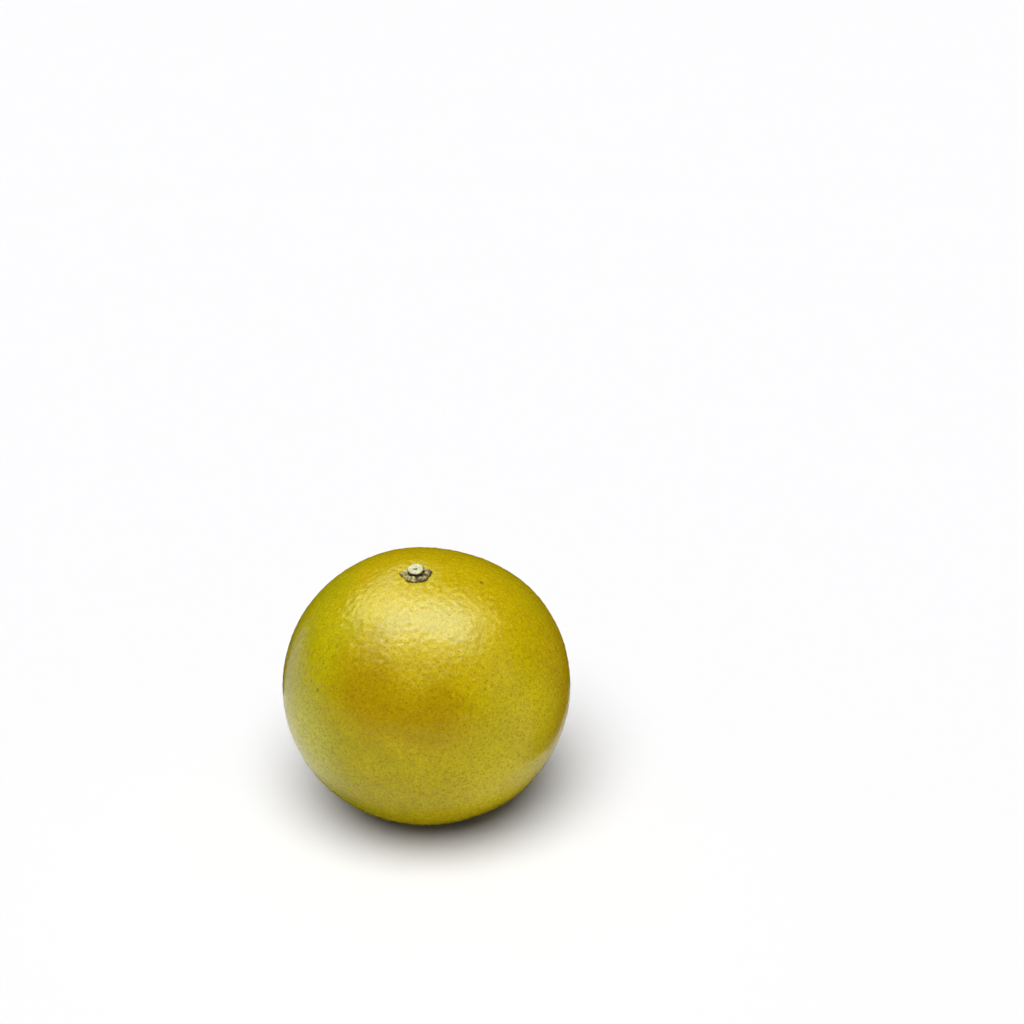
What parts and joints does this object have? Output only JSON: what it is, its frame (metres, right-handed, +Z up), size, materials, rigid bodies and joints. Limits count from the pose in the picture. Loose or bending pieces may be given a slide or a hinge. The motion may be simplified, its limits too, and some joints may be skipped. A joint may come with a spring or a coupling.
{
  "type": "orange",
  "caption": "Whole yellow-green orange resting on a small flat spot, with a five-lobed dried calyx and a short cut stem stub on top.",
  "frame": {"origin": "on the resting surface, below the middle of the fruit", "axes": "+Z up; the fruit's own axis leans 10 degrees from +Z towards -Y and 3 degrees towards -X, so the stem end faces up and slightly to the front; -Y is the front"},
  "size_m": [0.0798, 0.0798, 0.0765],
  "materials": {
    "rind": "waxy, semi-gloss, finely pitted",
    "dried_sepal": "dry, matt",
    "cut_stalk": "dry, matt, freshly cut face"
  },
  "bodies": {
    "root": {"fruit": "rind", "calyx": "dried_sepal", "stem_stub": "cut_stalk"}
  },
  "joints": []
}
